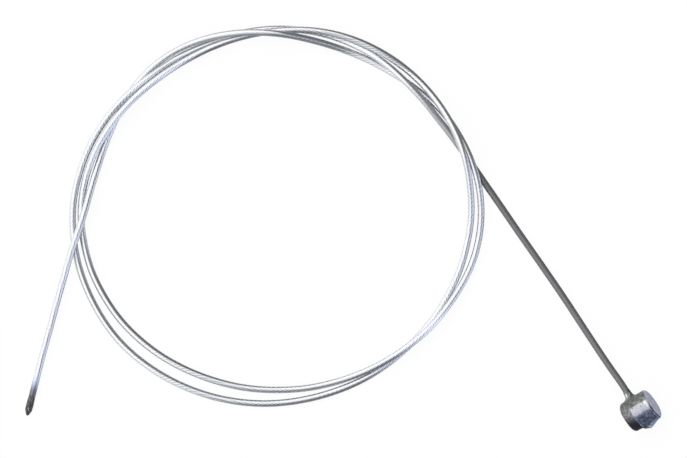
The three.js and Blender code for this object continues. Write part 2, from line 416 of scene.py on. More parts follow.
# %% Fused tip
TIP_RINGS = 96
TIP_SIDES = 144
TIP_CROWDING = 1.4
TIP_SWELL = 0.06
SWELLS_FROM = 0.4
TIP_TAPER = 1.3
TAPER_BEND = 1.15
TAPER_ROUNDING = 14
BLUNT_SHARE = 0.22
START_SINK = 0.07
SUNK_TO = 2.6
LOBE_DEPTH = 0.035
LOBES_LOST = 0.75
LOBES_FADE = (1.5, 4.6)
TIP_GROOVE = 0.02
LUMPS = [(2, 2.1, 0.6, 0.022), (5, -3.3, 0, 0.014), (9, 5.7, 1.9, 0.010)]


def smoothstep(low, high, value):
    share = np.clip((value - low) / (high - low), 0, 1)
    return share * share * (3 - 2 * share)


def tip_cap(place):
    """The share of its full radius that the tip keeps, from 1 down its cone to a blunt end."""
    taper = np.clip((place - (TIP_LENGTH - TIP_TAPER)) / TIP_TAPER, 0, 1)
    return (1 - (1 - BLUNT_SHARE) * taper**TAPER_BEND) * np.sqrt(1 - taper**TAPER_ROUNDING)


def tip_radius(place, turned, lobes):
    """Sunk a little where the wires come in, then swelling, lumpy and less and less lobed."""
    grown = smoothstep(SWELLS_FROM, TIP_LENGTH - TIP_TAPER, place)
    radius = ROPE_RADIUS - START_SINK * (1 - smoothstep(0, SUNK_TO, place)) + TIP_SWELL * grown
    lobed = 1 - LOBES_LOST * smoothstep(*LOBES_FADE, place)
    radius = radius + LOBE_DEPTH * lobed * (lobes - 1) / 2
    for waves, pitch, phase, height in LUMPS:
        radius = radius + height * grown * np.sin(waves * turned + pitch * place + phase)
    return radius * tip_cap(place)


def fused_tip():
    """The tip's rings stand on one straight line, the rope's own direction at its end."""
    place = np.linspace(0, TIP_LENGTH, TIP_RINGS)
    place = (TIP_LENGTH * (1 - (1 - place / TIP_LENGTH) ** TIP_CROWDING))[:, None]
    turned = np.linspace(0, 2 * np.pi, TIP_SIDES, endpoint=False)[None, :]
    flat = turned - LAY_HAND * 2 * np.pi * (fused_start + place) / LAY_LENGTH
    lobes = np.cos(OUTER_WIRES * flat)
    radius = tip_radius(place, turned, lobes)
    start = [np.interp(fused_start, along, centreline[:, k]) for k in range(3)]
    middle = start + place * tangents[-2]
    across = np.cos(turned[0])[:, None] * sides[-2] + np.sin(turned[0])[:, None] * lifts[-2]
    rings = middle[:, None, :] + radius[:, :, None] * across[None]
    length = np.broadcast_to(fused_start + place, radius.shape)
    laid = np.stack([radius * np.cos(flat), radius * np.sin(flat), length], axis=-1)
    return tube(rings, {"laid": laid, "groove": TIP_GROOVE * (1 - lobes)})


tip = build_object("fused_tip", [fused_tip()])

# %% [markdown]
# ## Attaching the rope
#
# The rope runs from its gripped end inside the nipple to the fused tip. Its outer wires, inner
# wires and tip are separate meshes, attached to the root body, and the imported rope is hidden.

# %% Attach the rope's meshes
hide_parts("wire_rope")
for piece in (outer_wires, inner_wires, tip):
    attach(piece, "root")

# %% [markdown]
# ## Cast barrel nipple
#
# Molten zinc is cast round the splayed end of the rope. The die leaves a plain barrel with a
# rounded free end, a neck where the rope comes out, and on the other half a smooth raised pad
# with the broken stub of the gate. All but the neck is one skin: a grid of rings round the
# barrel's axis, whose points are then pushed out by the pad, the stub and the casting's own
# unevenness. The gated end's rim is rounder on the rope's side than on the far side.

# %% Rings of the plain barrel
NIPPLE_SIDES = 300
END_RINGS = 14
RIM_RINGS = 12
SIDE_RINGS = 116
AXIS_GAP = 0.004
RIM_ON_ROPE_SIDE = 0.85
RIM_ON_FAR_SIDE = 0.3
RIM_CHANGES = (60, 120)

ring_angle = np.linspace(0, 2 * np.pi, NIPPLE_SIDES, endpoint=False)
far_degrees = np.degrees(np.arctan2(np.sin(ring_angle), -np.cos(ring_angle)))
gate_rim = RIM_ON_FAR_SIDE + (RIM_ON_ROPE_SIDE - RIM_ON_FAR_SIDE) * smoothstep(
    *RIM_CHANGES, np.abs(far_degrees)
)


def barrel_grid():
    """Places along the barrel, distances from its axis, and the two parts of the outward normal."""
    rows = []
    free_face = BARREL_RADIUS - FREE_RIM
    for share in np.linspace(AXIS_GAP, 1, END_RINGS, endpoint=False):
        rows.append((-HALF_LENGTH, free_face * share, -1, 0))
    for turn in np.linspace(0, math.pi / 2, RIM_RINGS):
        ahead, out = 1 - math.cos(turn), math.sin(turn)
        rows.append((-HALF_LENGTH + FREE_RIM * ahead, free_face + FREE_RIM * out, ahead - 1, out))
    side_length = 2 * HALF_LENGTH - FREE_RIM - gate_rim
    for share in np.linspace(0, 1, SIDE_RINGS + 2)[1:-1]:
        rows.append((-HALF_LENGTH + FREE_RIM + side_length * share, BARREL_RADIUS, 0, 1))
    gate_face = BARREL_RADIUS - gate_rim
    for turn in np.linspace(math.pi / 2, 0, RIM_RINGS):
        back, out = 1 - math.cos(turn), math.sin(turn)
        rows.append((HALF_LENGTH - gate_rim * back, gate_face + gate_rim * out, 1 - back, out))
    for share in np.linspace(1, AXIS_GAP, END_RINGS + 1)[1:]:
        rows.append((HALF_LENGTH, gate_face * share, 1, 0))
    shape = gate_rim.shape
    return [np.array([np.broadcast_to(row[k], shape) for row in rows]) for k in range(4)]


grid_x, grid_r, grid_nx, grid_nr = barrel_grid()
print(len(grid_x), "rings round the barrel's axis")

# %% [markdown]
# The pad covers the gated half from a little on the rope's side of the top, over the far side
# and under the barrel. Towards the rope it ends in a broad flat chamfer, and towards the free
# half in a low burr. The stub is a ridge of straight slopes, highest near the barrel's middle.
# Each is a height over the plain barrel, worked out for every point of the grid. Angles are in
# degrees round the barrel from the side away from the rope, 90 being the top. A step is a pair
# of distances from an edge, between which something begins.

# %% Pad, stub and unevenness
PAD_FROM = -1.15
PAD_TO = 3.1
PAD_TOP = 112.0
PAD_UNDER = -110.0
PAD_EDGE_WAVES = [(0.08, 19), (0.04, 7)]
PAD_TOP_WAVE = (1.2, 2.3, 0.5)
EDGE_STEP = (-0.1, 0.06)
END_STEP = (0.2, -0.15)
UNDER_STEP = (-3, 5)
TOP_STEP = (1, -1)
CHAMFER_FROM = 86.0
CHAMFER_FACES = 104.8
CHAMFER_DISTANCE = 3.522
PAD_HEIGHT = 0.22
BURR_HEIGHT = 0.07
BURR_WIDTH = 0.11
BURR_UNDER_STEP = (0, 20)
BURR_TOP_STEP = (0, -8)
STUB_LINE = [(-2.3, 0.0), (-1.3, 0.2), (0.13, 0.86), (1.0, 0.6), (2.6, 0.0)]
STUB_SPREAD = 27.0
SWELLINGS = [(3, 1.4, 0.7, 0.020), (5, -2.3, 2.2, 0.016), (11, 4.1, 0, 0.008)]
# Painted shade on the side away from the rope: the angle where it begins, its slant and its fade.
SHADE_EDGE = 79.0
SHADE_EDGE_ON_PAD = 84.0
SHADE_SLANT = -8.0
SHADE_FROM_X = -2.6
SHADE_FADE = 23.0


def begins(edge, step, value):
    near, far = step
    return smoothstep(edge + near, edge + far, value)


def pad_edge(angle):
    """Where the pad begins along the barrel: a wavering line, as the gate insert leaves it."""
    return sum((size * np.sin(angle / length) for size, length in PAD_EDGE_WAVES), PAD_FROM)


def chamfer_height(angle):
    """The height of the pad over the round barrel, cut off by the flat chamfer."""
    flat = CHAMFER_DISTANCE / np.cos(np.radians(angle - CHAMFER_FACES)) - BARREL_RADIUS
    return np.where(angle < CHAMFER_FROM, PAD_HEIGHT, np.clip(flat, 0, PAD_HEIGHT))


def pad_share(x, angle):
    """1 on the pad and 0 off it."""
    size, pitch, phase = PAD_TOP_WAVE
    top = PAD_TOP + size * np.sin(pitch * x + phase)
    along_barrel = begins(pad_edge(angle), EDGE_STEP, x) * begins(PAD_TO, END_STEP, x)
    round_barrel = begins(PAD_UNDER, UNDER_STEP, angle) * begins(top, TOP_STEP, angle)
    return along_barrel * round_barrel


def burr_height(x, angle):
    """A low ridge along the pad's edge, which dies out towards both its ends."""
    full = begins(PAD_UNDER, BURR_UNDER_STEP, angle) * begins(PAD_TOP, BURR_TOP_STEP, angle)
    return BURR_HEIGHT * full * np.exp(-(((x - pad_edge(angle)) / BURR_WIDTH) ** 2))


def stub_height(x, angle):
    """The broken gate: straight slopes along the barrel, rounded off to both sides."""
    places, heights = zip(*STUB_LINE)
    return np.interp(x, places, heights) * np.exp(-((angle / STUB_SPREAD) ** 2))


def unevenness(x, angle):
    """Soft hollows and swellings that the die and the cooling metal leave."""
    return sum(
        height * np.sin(waves * np.radians(angle) + pitch * x + phase)
        for waves, pitch, phase, height in SWELLINGS
    )


def painted_shade_share(x, angle):
    """1 where painted shade darkens the side away from the rope."""
    slanted = SHADE_EDGE + SHADE_SLANT * (x - SHADE_FROM_X)
    edge = np.where(x > PAD_FROM, SHADE_EDGE_ON_PAD, slanted)
    return smoothstep(edge + SHADE_FADE, edge - SHADE_FADE, angle)


print("highest point of the stub:", max(height for _, height in STUB_LINE), "mm over the barrel")

# %% [markdown]
# The skin swells up in a fillet round the place where the rope leaves. From there the neck, a
# slim cone turned round the rope, carries on to the point where the bare rope starts. A worn spot
# of the skin, rubbed smooth and painted bright as a painted highlight, is given by its place
# along the barrel, its angle, its spread each way and how strongly it is painted. The neck's
# painted highlight lies on its worn side only, over a part of its length.

# %% The nipple's skin and neck
SIDE_FROM = 0.4
FACE_EDGE = (0.35, 0.8)
PAD_EVENNESS = 0.7
EVEN_MIDDLE = 1.5
FILLET_HEIGHT = 0.3
FILLET_RADIUS = 1.65
NECK_SIDES = 72
NECK_LINE = [
    (3.0, 1.12), (3.75, 1.08), (3.9, 1.0), (4.15, 0.93), (4.5, 0.87), (4.9, 0.83), (5.25, 0.80),
    (5.38, 0.785), (5.4, 0.765), (5.4, 0.70),
]
# The neck's worn side is rubbed smooth and painted bright, a painted highlight.
NECK_WEAR_HIGHLIGHT = (113, 12)
NECK_WEAR_HIGHLIGHT_ALONG = (3.6, 4.1, 4.7, 5.0)
# Each worn spot is rubbed smooth and painted bright, a painted highlight.
SKIN_WEAR_HIGHLIGHTS = [
    (2.45, 104, 0.18, 4.5, 0.9), (2.68, 95, 0.12, 8, 0.7), (0.1, 14, 0.4, 6, 0.9),
    (1.7, 70, 0.12, 5, 0.5), (1.35, 59, 0.12, 6, 0.4),
]


def placed(points):
    return points @ np.array(nipple_turn).T + np.array(nipple_centre)


def skin_wear_highlights(x, angle):
    """Spots where the casting has rubbed or was broken off, painted bright as painted highlights."""
    spots = [
        share * np.exp(-(((x - place) / width) ** 2) - ((angle - turn) / spread) ** 2)
        for place, turn, width, spread, share in SKIN_WEAR_HIGHLIGHTS
    ]
    return np.sum(spots, axis=0)


def standing_out(angle, pad, on_side):
    """How far the skin stands out from the plain barrel: not at all in the middle of its ends."""
    raised = stub_height(grid_x, angle) + burr_height(grid_x, angle)
    out = chamfer_height(angle) * pad + raised * on_side
    out = out + unevenness(grid_x, angle) * (1 - PAD_EVENNESS * pad)
    return out * smoothstep(0, EVEN_MIDDLE, grid_r)


def nipple_skin():
    angle = np.broadcast_to(far_degrees, grid_x.shape)
    on_side = smoothstep(SIDE_FROM, 1, grid_nr)
    pad = pad_share(grid_x, angle) * on_side
    out = standing_out(angle, pad, on_side)
    x = grid_x + grid_nx * out
    r = grid_r + grid_nr * out
    y = r * np.cos(ring_angle)
    z = r * np.sin(ring_angle)
    distance = np.hypot(x - BOSS_OFFSET, z)
    fillet = np.clip((FILLET_RADIUS - distance) / (FILLET_RADIUS - NECK_LINE[0][1]), 0, 1)
    y = y + np.where(y > 0, FILLET_HEIGHT * fillet**2, 0)
    points = np.stack([x, y, z], axis=-1)
    # Two attributes carry painted light: shade on the side away from the rope, and highlights on
    # worn spots.
    return tube(placed(points), {
        "casting": points,
        "pad": pad,
        "gated_face": smoothstep(*FACE_EDGE, grid_nx),
        "painted_shade": painted_shade_share(grid_x, angle),
        "worn_highlight": skin_wear_highlights(grid_x, angle),
    })


def nipple_neck():
    places, radii = (np.array(values)[:, None] for values in zip(*NECK_LINE))
    turned = np.linspace(2 * np.pi, 0, NECK_SIDES, endpoint=False)
    x = BOSS_OFFSET + radii * np.cos(turned)
    z = radii * np.sin(turned)
    points = np.stack([x, np.broadcast_to(places, x.shape), z], axis=-1)
    off = np.zeros(x.shape)
    # The neck's worn side is also a painted highlight.
    middle, spread = NECK_WEAR_HIGHLIGHT
    start, full, fading, end = NECK_WEAR_HIGHLIGHT_ALONG
    worn_highlight = np.exp(-(((np.degrees(turned) - middle) / spread) ** 2))
    worn_highlight = worn_highlight * smoothstep(start, full, places) * smoothstep(end, fading, places)
    return tube(placed(points), {
        "casting": points, "pad": off, "gated_face": off, "painted_shade": off, "worn_highlight": worn_highlight,
    })


nipple = build_object("cast_nipple", [nipple_skin(), nipple_neck()])
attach(nipple, "root")
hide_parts("barrel_nipple")

# %% [markdown]
# ## Material helpers
#
# A procedural material is a small network of nodes. These helpers add a node, join two sockets
# and mix or measure values, so that each recipe below reads as a recipe.

# %% Node helpers


def add(tree, kind, **settings):
    node = tree.nodes.new(kind)
    for key, value in settings.items():
        setattr(node, key, value)
    return node


def feed(tree, value, socket):
    """Joins another node's output to the socket, or sets it to a plain number or colour."""
    if isinstance(value, bpy.types.NodeSocket):
        tree.links.new(value, socket)
    else:
        socket.default_value = (*value, 1) if isinstance(value, tuple) else value


def new_material(name):
    material = bpy.data.materials.new(name)
    material.use_nodes = True
    tree = material.node_tree
    tree.nodes.clear()
    shader = add(tree, "ShaderNodeBsdfPrincipled")
    return material, tree, shader


def finish_material(tree, surface):
    output = add(tree, "ShaderNodeOutputMaterial")
    feed(tree, surface, output.inputs["Surface"])


def attribute(tree, name):
    return add(tree, "ShaderNodeAttribute", attribute_name=name)


def ramp(tree, source, stops):
    node = add(tree, "ShaderNodeValToRGB")
    elements = node.color_ramp.elements
    while len(elements) < len(stops):
        elements.new(0.5)
    for element, (place, colour) in zip(elements, stops):
        element.position = place
        element.color = (*colour, 1)
    feed(tree, source, node.inputs["Fac"])
    return node.outputs["Color"]


def mix(tree, factor, first, second, blend="MIX"):
    node = add(tree, "ShaderNodeMix", data_type="RGBA", blend_type=blend)
    sockets = {socket.identifier: socket for socket in [*node.inputs, *node.outputs]}
    feed(tree, factor, sockets["Factor_Float"])
    feed(tree, first, sockets["A_Color"])
    feed(tree, second, sockets["B_Color"])
    return sockets["Result_Color"]


def calculate(tree, operation, first, second=0.0):
    node = add(tree, "ShaderNodeMath", operation=operation)
    feed(tree, first, node.inputs[0])
    feed(tree, second, node.inputs[1])
    return node.outputs[0]


def span(tree, value, low, high, new_low=0.0, new_high=1.0):
    """Carries the range low to high over to new_low to new_high, and stops at its ends."""
    node = add(tree, "ShaderNodeMapRange")
    feed(tree, value, node.inputs["Value"])
    feed(tree, low, node.inputs["From Min"])
    feed(tree, high, node.inputs["From Max"])
    feed(tree, new_low, node.inputs["To Min"])
    feed(tree, new_high, node.inputs["To Max"])
    return node.outputs["Result"]


print("node helpers:", [helper.__name__ for helper in (add, feed, ramp, mix, calculate, span)])

# %% [markdown]
# ## Two effects that several metals share
#
# Drawn wire has faint lines along it, and so have the tip, where metal ran down the wires, and
# the nipple's pad. Cast and burnt metal is mottled. Each effect is a node group that puts out a
# mask. The lines come with broader patches, the mottling with a height for a bump, and each
# material gives them its own scale.

# %% Drawn lines
LINE_DETAIL = 3.0
LINE_RANGE = (0.3, 0.7)
PATCH_SCALE = 0.35
PATCH_DETAIL = 2.0
PATCH_RANGE = (0.35, 0.65)


def group_with(name, inputs, outputs):
    tree = bpy.data.node_groups.new(name, "ShaderNodeTree")
    for key, kind in inputs:
        tree.interface.new_socket(key, in_out="INPUT", socket_type=kind)
    for key in outputs:
        tree.interface.new_socket(key, in_out="OUTPUT", socket_type="NodeSocketFloat")
    return tree, add(tree, "NodeGroupInput").outputs, add(tree, "NodeGroupOutput").inputs


def noise(tree, vector, scale, detail, roughness=0.5, distortion=0.0):
    node = add(tree, "ShaderNodeTexNoise")
    feed(tree, vector, node.inputs["Vector"])
    feed(tree, scale, node.inputs["Scale"])
    node.inputs["Detail"].default_value = detail
    node.inputs["Roughness"].default_value = roughness
    node.inputs["Distortion"].default_value = distortion
    return node.outputs["Fac"]


def drawn_lines_group():
    vector_and_scales = [
        ("Vector", "NodeSocketVector"),
        ("Across", "NodeSocketFloat"),
        ("Along", "NodeSocketFloat"),
    ]
    tree, given, result = group_with("drawn lines", vector_and_scales, ["Mask", "Patches"])
    parts = add(tree, "ShaderNodeSeparateXYZ")
    feed(tree, given["Vector"], parts.inputs[0])
    stretched = add(tree, "ShaderNodeCombineXYZ")
    for axis, key in (("X", "Across"), ("Y", "Across"), ("Z", "Along")):
        scaled = calculate(tree, "MULTIPLY", parts.outputs[axis], given[key])
        feed(tree, scaled, stretched.inputs[axis])
    lines = noise(tree, stretched.outputs[0], 1.0, LINE_DETAIL)
    patches = noise(tree, stretched.outputs[0], PATCH_SCALE, PATCH_DETAIL)
    feed(tree, span(tree, lines, *LINE_RANGE), result["Mask"])
    feed(tree, span(tree, patches, *PATCH_RANGE), result["Patches"])
    return tree


drawn_lines = drawn_lines_group()
print("group:", drawn_lines.name)

# %% [markdown]
# The mottling has blotches, and grains five times as fine that go into its height alone.

# %% Mottling
GRAIN_FINENESS = 5.0
GRAIN_DETAIL = 3.0
GRAIN_PART = 0.35
BLOTCH_NOISE = {"detail": 5.0, "roughness": 0.62, "distortion": 0.1}
BLOTCH_RANGE = (0.34, 0.66)
BLOTCH_PART = 0.65


def mottling_group():
    vector_and_size = [("Vector", "NodeSocketVector"), ("Size", "NodeSocketFloat")]
    tree, given, result = group_with("mottling", vector_and_size, ["Mask", "Height"])
    blotches = noise(tree, given["Vector"], given["Size"], **BLOTCH_NOISE)
    finer = calculate(tree, "MULTIPLY", given["Size"], GRAIN_FINENESS)
    grains = noise(tree, given["Vector"], finer, GRAIN_DETAIL)
    feed(tree, span(tree, blotches, *BLOTCH_RANGE), result["Mask"])
    coarse_part = calculate(tree, "MULTIPLY", blotches, BLOTCH_PART)
    fine_part = calculate(tree, "MULTIPLY", grains, GRAIN_PART)
    feed(tree, calculate(tree, "ADD", coarse_part, fine_part), result["Height"])
    return tree


mottling = mottling_group()
print("group:", mottling.name)

# %% [markdown]
# A group is placed in a material with its own values. What it puts out can colour the surface or
# go through a bump, which tilts the surface as seen by light and leaves the mesh alone.

# %% Placing a group, and bump


def place_group(tree, group, vector, **values):
    node = add(tree, "ShaderNodeGroup", node_tree=group)
    feed(tree, vector, node.inputs["Vector"])
    for key, value in values.items():
        node.inputs[key].default_value = value
    return node.outputs


def bump(tree, shader, height, strength, depth):
    node = add(tree, "ShaderNodeBump")
    node.inputs["Strength"].default_value = strength
    node.inputs["Distance"].default_value = depth
    feed(tree, height, node.inputs["Height"])
    feed(tree, node.outputs["Normal"], shader.inputs["Normal"])


print("effects:", [group.name for group in bpy.data.node_groups])

# %% [markdown]
# ## Rope steel
#
# Bright drawn wire: a clean metal that mirrors the room, a little soft along its drawing lines.
# Painted shade darkens the grooves, the more the deeper they lie. The stretch next to the nipple
# was dulled when the zinc was cast, and its darker colour there is painted shade. The last
# millimetres before the tip run through the blue of heated steel to dark grey.

# %% Rope steel
STEEL = (0.72, 0.73, 0.745)
STEEL_ROUGHNESS = (0.05, 0.11)
STEEL_LINES = (0.58, 0.59, 0.61)
LINES_ON_WIRE = {"Across": 22.0, "Along": 0.5}
LINES_SHARE = 0.4
LINES_BUMP = (0.15, 0.01 * MM)
# Painted shade in the grooves, stronger the deeper a point lies.
GROOVE_SHADE = (0.5, 0.51, 0.53)
GROOVE_SHARE = 0.8
GROOVE_DEPTHS = (0.018, 0.09)
GROOVE_ROUGHER = 0.15
# Next to the nipple the steel is duller, and this darker colour is painted shade.
DULLED_AND_SHADED = (0.16, 0.158, 0.162)
DULLED_ROUGHER = 0.26
DULLED_METALLIC = 0.45
DULL_TO = 64.0
CLEAN_FROM = 92.0
HEAT_FROM = fused_start - 2.6
HEAT_TO = fused_start + 1.4
HEAT_COLOURS = [
    (0.0, (1, 1, 1)), (0.3, (0.80, 0.86, 1.0)), (0.6, (0.48, 0.52, 0.62)),
    (0.78, (0.31, 0.32, 0.36)), (1.0, (0.24, 0.24, 0.255)),
]


def distance_along(tree, laid):
    """How far along the rope a point lies, in millimetres."""
    parts = add(tree, "ShaderNodeSeparateXYZ")
    feed(tree, laid, parts.inputs[0])
    return parts.outputs["Z"]


def steel_colour(tree, distance, drawn, groove, dulled_and_shaded):
    clean = mix(tree, calculate(tree, "MULTIPLY", drawn, LINES_SHARE), STEEL, STEEL_LINES)
    # Painted shade: darker next to the nipple and in the grooves.
    shaded_near_nipple = mix(tree, dulled_and_shaded, clean, DULLED_AND_SHADED)
    deep = calculate(tree, "MULTIPLY", groove, GROOVE_SHARE)
    groove_shaded = mix(tree, deep, shaded_near_nipple, GROOVE_SHADE, "MULTIPLY")
    heat = ramp(tree, span(tree, distance, HEAT_FROM, HEAT_TO), HEAT_COLOURS)
    return mix(tree, 1.0, groove_shaded, heat, "MULTIPLY")


def steel_roughness(tree, patches, groove, dulled_and_shaded):
    rough = span(tree, patches, 0, 1, *STEEL_ROUGHNESS)
    for share, rougher in ((groove, GROOVE_ROUGHER), (dulled_and_shaded, DULLED_ROUGHER)):
        rough = calculate(tree, "ADD", rough, calculate(tree, "MULTIPLY", share, rougher))
    return rough


def rope_steel_material():
    material, tree, shader = new_material("rope_steel")
    laid = attribute(tree, "laid").outputs["Vector"]
    lines = place_group(tree, drawn_lines, laid, **LINES_ON_WIRE)
    distance = distance_along(tree, laid)
    groove = span(tree, attribute(tree, "groove").outputs["Fac"], *GROOVE_DEPTHS)
    dulled_and_shaded = span(tree, distance, DULL_TO, CLEAN_FROM, 1, 0)
    colour = steel_colour(tree, distance, lines["Mask"], groove, dulled_and_shaded)
    rough = steel_roughness(tree, lines["Patches"], groove, dulled_and_shaded)
    feed(tree, colour, shader.inputs["Base Color"])
    feed(tree, rough, shader.inputs["Roughness"])
    feed(tree, span(tree, dulled_and_shaded, 0, 1, 1, DULLED_METALLIC), shader.inputs["Metallic"])
    bump(tree, shader, lines["Mask"], *LINES_BUMP)
    finish_material(tree, shader.outputs["BSDF"])
    return material


rope_steel = rope_steel_material()
for piece in (outer_wires, inner_wires):
    piece.data.materials.append(rope_steel)
print("rope:", rope_steel.name)

# %% [markdown]
# ## Burnt tip
#
# Arc-melted steel is covered in black scale, with paler streaks where it ran down the wires and
# a few bright specks where the scale has flaked.

# %% Burnt tip
SCALE_BLACK = (0.055, 0.057, 0.058)
STREAK_GREY = (0.32, 0.32, 0.31)
FLAKED = (0.5, 0.52, 0.51)
HEATED = (0.26, 0.265, 0.28)
HEATED_TO = fused_start + 0.1
BLACK_FROM = fused_start + 2.2
LINES_ON_TIP = {"Across": 3.2, "Along": 0.5}
STREAK_RANGE = (0.55, 0.95)
SPOT_SIZE = 1.8
FLAKE_RANGE = (0.93, 1.0)
SCALE_ROUGHNESS = (0.24, 0.5)
SCALE_METALLIC = 0.8
SCALE_BUMP = (0.6, 0.05 * MM)


def burnt_material():
    material, tree, shader = new_material("burnt_steel")
    laid = attribute(tree, "laid").outputs["Vector"]
    lines = place_group(tree, drawn_lines, laid, **LINES_ON_TIP)
    spots = place_group(tree, mottling, laid, Size=SPOT_SIZE)
    heated = span(tree, distance_along(tree, laid), HEATED_TO, BLACK_FROM, 1, 0)
    streaked = mix(tree, span(tree, lines["Mask"], *STREAK_RANGE), SCALE_BLACK, STREAK_GREY)
    flaked = mix(tree, span(tree, spots["Mask"], *FLAKE_RANGE), streaked, FLAKED)
    feed(tree, mix(tree, heated, flaked, HEATED), shader.inputs["Base Color"])
    feed(tree, span(tree, spots["Mask"], 0, 1, *SCALE_ROUGHNESS), shader.inputs["Roughness"])
    shader.inputs["Metallic"].default_value = SCALE_METALLIC
    bump(tree, shader, spots["Height"], *SCALE_BUMP)
    finish_material(tree, shader.outputs["BSDF"])
    return material


tip.data.materials.append(burnt_material())
print("tip:", tip.data.materials[0].name)

# %% [markdown]
# ## Cast zinc
#
# As cast, zinc is dull and mottled grey, a little greenish. The pad was in touch with the
# polished gate insert, so it is smoother and mirrors the room. The gated end face is a paler
# lavender grey. The neck is worn smooth on one side, and it and a few rubbed spots of the skin
# are painted bright as painted highlights. The side away from the rope has painted black shade,
# with painted navy and pale blue reflections on the pad.

# %% Cast zinc
ZINC_DARK = (0.095, 0.1, 0.096)
ZINC = (0.175, 0.183, 0.176)
ZINC_PALE = (0.31, 0.32, 0.312)
PAD_ZINC = (0.46, 0.46, 0.48)
PAD_LINES = (0.13, 0.125, 0.14)
FACE_ZINC = (0.40, 0.41, 0.50)
FACE_PALE = (0.56, 0.57, 0.66)
# Painted highlight colour of the worn spots, which are also smoother.
WORN_HIGHLIGHT_ZINC = (0.8, 0.8, 0.8)
# Painted shade: black on the side away from the rope, and painted navy and pale blue reflections on
# the pad.
PAINTED_SHADE_BLACK = (0.042, 0.043, 0.052)
PAINTED_NAVY_REFLECTION = (0.07, 0.085, 0.14)
PAINTED_PALE_REFLECTION = (0.36, 0.41, 0.53)
BLOTCH_SIZE = 1.5
LINES_ON_PAD = {"Across": 2.6, "Along": 1.1}
ZINC_ROUGHNESS = (0.46, 0.22)
ZINC_METALLIC = 0.9
FACE_METALLIC = 0.35
SMOOTH_RELIEF = 0.12
ZINC_BUMP = (0.7, 0.14 * MM)


def zinc_colour(tree, blotches, lines, masks):
    dull = ramp(tree, blotches, [(0, ZINC_DARK), (0.5, ZINC), (1, ZINC_PALE)])
    pad = mix(tree, calculate(tree, "MULTIPLY", lines, blotches), PAD_ZINC, PAD_LINES)
    face = mix(tree, blotches, FACE_ZINC, FACE_PALE)
    # Painted reflections on the pad's shaded side, and painted black shade on the rest of that side.
    pad_reflection_painted = mix(tree, blotches, PAINTED_NAVY_REFLECTION, PAINTED_PALE_REFLECTION)
    painted_shade_colour = mix(tree, masks["pad"], PAINTED_SHADE_BLACK, pad_reflection_painted)
    bare = mix(tree, masks["pad"], dull, pad)
    shade_painted = mix(tree, masks["painted_shade"], bare, painted_shade_colour)
    ended = mix(tree, masks["gated_face"], shade_painted, face)
    # Worn spots are painted bright, as painted highlights.
    return mix(tree, masks["worn_highlight"], ended, WORN_HIGHLIGHT_ZINC)


def cast_zinc_material():
    material, tree, shader = new_material("cast_zinc")
    casting = attribute(tree, "casting").outputs["Vector"]
    blotches = place_group(tree, mottling, casting, Size=BLOTCH_SIZE)
    lines = place_group(tree, drawn_lines, casting, **LINES_ON_PAD)
    names = ("pad", "gated_face", "painted_shade", "worn_highlight")
    masks = {name: attribute(tree, name).outputs["Fac"] for name in names}
    colour = zinc_colour(tree, blotches["Mask"], lines["Mask"], masks)
    feed(tree, colour, shader.inputs["Base Color"])
    smooth = calculate(tree, "MAXIMUM", masks["pad"], masks["worn_highlight"])
    feed(tree, span(tree, smooth, 0, 1, *ZINC_ROUGHNESS), shader.inputs["Roughness"])
    metallic = span(tree, masks["gated_face"], 0, 1, ZINC_METALLIC, FACE_METALLIC)
    feed(tree, metallic, shader.inputs["Metallic"])
    rugged = span(tree, smooth, 0, 1, 1, SMOOTH_RELIEF)
    relief = calculate(tree, "MULTIPLY", blotches["Height"], rugged)
    bump(tree, shader, relief, *ZINC_BUMP)
    finish_material(tree, shader.outputs["BSDF"])
    return material


nipple.data.materials.append(cast_zinc_material())
print("nipple:", nipple.data.materials[0].name)

# %% [markdown]
# ## Studio
#
# Bright metal shows little of its own colour: it shows the room. So the room is made with care.
# White screens stand at the top left of the table and reach right over it, with a dim gap under
# them at the level of the table. A pale blue screen stands at the right, partly behind a dim one,
# and the rest is dim. A dark round hangs overhead on the near side. The room is drawn by
# direction, with soft edges, which gives clean reflections without noise. To the camera it is
# plain white.

# %% The room as a world
ROOM_STRENGTH = 1.7
ROOM_ROUND = [
    (-180, (1, 1, 1)), (-122, (1, 1, 1)), (-110, (0.50, 0.52, 0.58)), (-98, (0.17, 0.172, 0.18)),
    (-80, (0.15, 0.15, 0.16)), (-60, (0.085, 0.08, 0.10)), (-49, (0.69, 0.73, 0.90)),
    (-28, (0.69, 0.73, 0.90)), (-20, (0.20, 0.22, 0.275)), (9, (0.15, 0.16, 0.18)),
    (20, (0.165, 0.165, 0.165)), (73, (0.165, 0.162, 0.158)), (94, (1, 1, 1)), (180, (1, 1, 1)),
]
LOW_ROUND = [
    (-180, (0.45, 0.46, 0.47)), (-111, (0.45, 0.46, 0.5)), (-99, (0.17, 0.172, 0.18)),
    (-80, (0.15, 0.15, 0.16)), (-60, (0.085, 0.08, 0.10)), (-49, (0.76, 0.80, 0.94)),
    (8, (0.80, 0.85, 0.95)), (22, (0.12, 0.12, 0.12)), (105, (0.07, 0.07, 0.07)),
    (130, (0.12, 0.12, 0.12)), (160, (0.36, 0.37, 0.38)), (180, (0.45, 0.46, 0.47)),
]
LOW_UP_TO = (0.28, 0.46)
CANOPY = (1, 1, 1)
CANOPY_CENTRE = (-0.37, 0.25, 0)
CANOPY_HALF_SIZES = (0.5, 0.5, 1)
OVERHEAD_CENTRE = (0.03, -0.62, 0)
OVERHEAD_HALF_SIZES = (0.15, 0.5, 1)
OVERHEAD = (0.165, 0.17, 0.19)
SOFT_EDGE = (1.13, 0.87)


def vector_step(tree, operation, first, second):
    node = add(tree, "ShaderNodeVectorMath", operation=operation)
    feed(tree, first, node.inputs[0])
    if isinstance(second, bpy.types.NodeSocket):
        feed(tree, second, node.inputs[1])
    else:
        node.inputs[1].default_value = second
    return node.outputs["Vector"]


